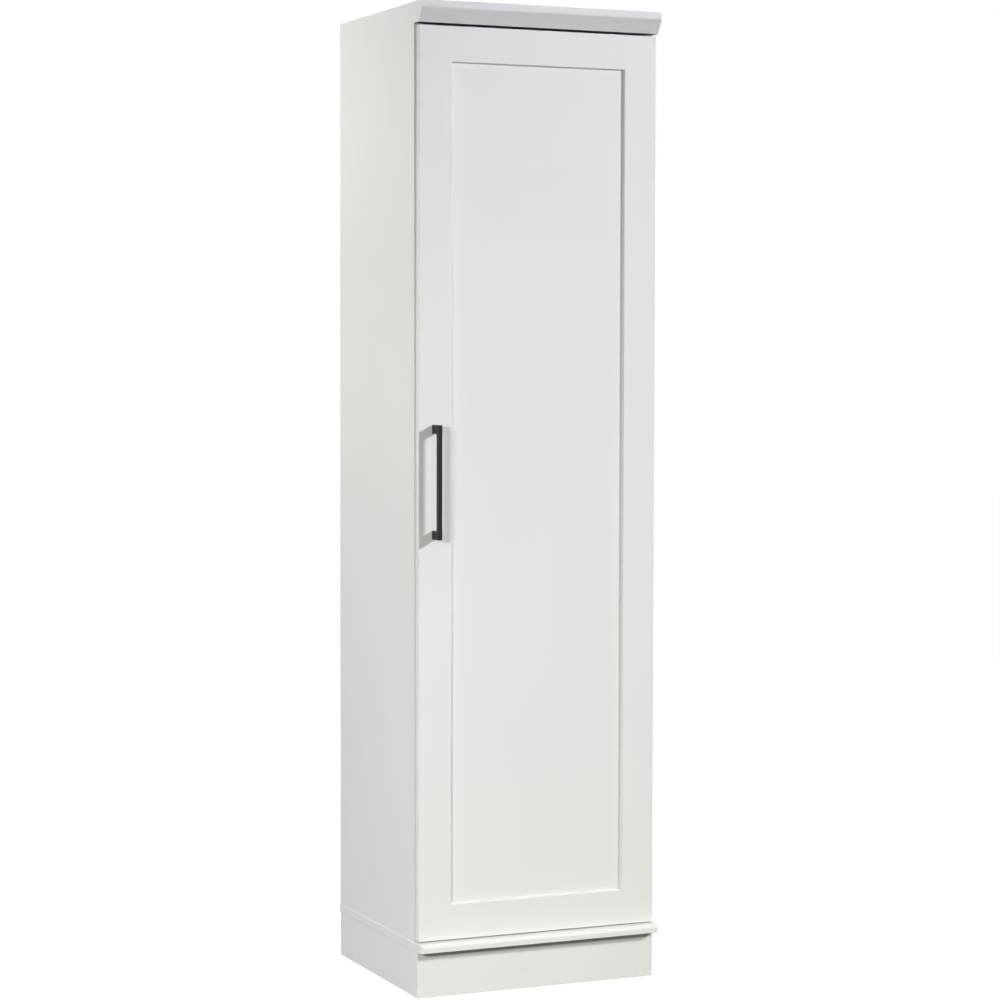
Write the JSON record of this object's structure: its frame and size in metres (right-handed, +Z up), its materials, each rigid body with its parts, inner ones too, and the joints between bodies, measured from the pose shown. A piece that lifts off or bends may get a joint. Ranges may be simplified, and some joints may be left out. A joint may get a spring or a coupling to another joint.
{
  "type": "broom cupboard",
  "caption": "Tall narrow white cupboard with a framed door on concealed hinges, a bar handle, a crown, a plinth, shelves and broom hooks.",
  "frame": {"origin": "on the floor, at the middle of the overall width and depth", "axes": "+Z up, -Y towards the front, +X towards the hinge side of the door"},
  "size_m": [0.482, 0.436, 1.808],
  "materials": {
    "white_laminate": "smooth satin white laminate",
    "hardboard": "thin board, white face",
    "bare_wood": "bare timber",
    "dark_bronze": "dark satin coat",
    "plated_steel": "bright zinc plate",
    "white_plastic": "moulded white plastic",
    "soft_bumper": "soft translucent pad"
  },
  "bodies": {
    "carcass": {"left_side_panel": "white_laminate", "right_side_panel": "white_laminate", "top_panel": "white_laminate", "fixed_shelf": "white_laminate", "adjustable_shelf": "white_laminate", "shelf_pins": "plated_steel", "base_ledge": "white_laminate", "front_skirt": "white_laminate", "left_skirt": "white_laminate", "right_skirt": "white_laminate", "rear_plinth_rail": "white_laminate", "plinth_corner_blocks": "bare_wood", "plinth_screws": "plated_steel", "crown_backer": "white_laminate", "crown_moulding": "white_laminate", "crown_screws": "plated_steel", "lower_back_panel": "hardboard", "upper_back_panel": "hardboard", "back_nails": "plated_steel", "hook_rail": "white_laminate", "broom_hooks": "plated_steel", "hook_screws": "plated_steel", "cam_locks": "plated_steel", "cam_bolts": "plated_steel", "dowels": "bare_wood", "hinge_mounting_plates": "plated_steel", "hinge_plate_screws": "plated_steel", "hinge_arms": "plated_steel", "hinge_arm_screws": "plated_steel", "magnetic_catch": "white_plastic", "catch_screws": "plated_steel"},
    "door": {"door_left_stile": "white_laminate", "door_right_stile": "white_laminate", "door_bottom_rail": "white_laminate", "door_top_rail": "white_laminate", "door_panel": "white_laminate", "door_mitre_dowels": "bare_wood", "hinge_cups": "plated_steel", "hinge_cup_screws": "plated_steel", "hinge_pins": "plated_steel", "handle": "dark_bronze", "handle_screws": "plated_steel", "catch_strike_plate": "plated_steel", "strike_screws": "plated_steel", "door_bumpers": "soft_bumper"}
  },
  "joints": [
    {"name": "door_swing", "type": "hinge", "parent": "carcass", "child": "door", "pos_m": [0.229, -0.181, 0.9345], "axis": [0, 0, 1], "range_deg": [0, 105]}
  ]
}
